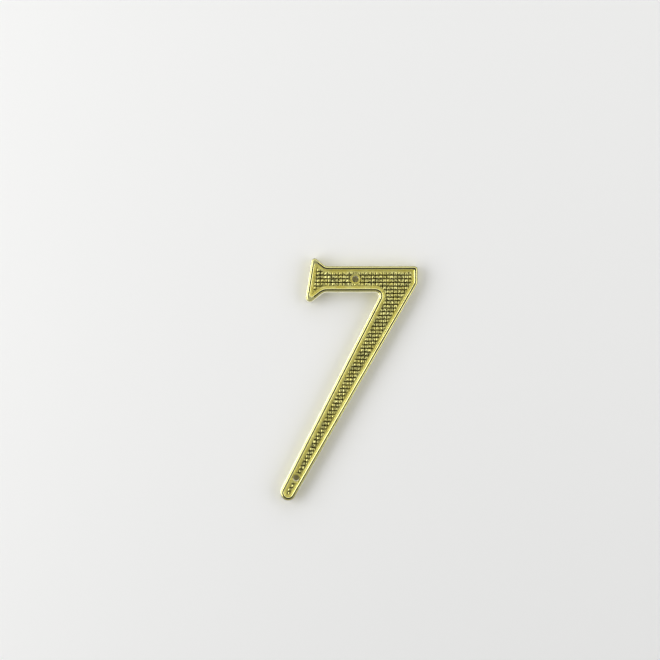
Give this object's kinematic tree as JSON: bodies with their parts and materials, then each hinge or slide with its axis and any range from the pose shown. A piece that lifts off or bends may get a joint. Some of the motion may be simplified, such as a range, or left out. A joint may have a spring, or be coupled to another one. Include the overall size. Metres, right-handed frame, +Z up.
{
  "type": "door number",
  "caption": "Upright figure seven for a door: slim cast bar and slanting stem with a rolled rim, sunk field, hollow back and countersunk screw holes.",
  "frame": {"origin": "midway between the two screw holes, on the back plane", "axes": "+Z up as it hangs on a door, +X to the reader's right, front towards -Y"},
  "size_m": [0.0578, 0.005, 0.1016],
  "materials": {
    "brass_finish": "bright brass plating under clear lacquer, over die-cast zinc"
  },
  "bodies": {
    "root": {"door_number": "brass_finish"}
  },
  "joints": []
}
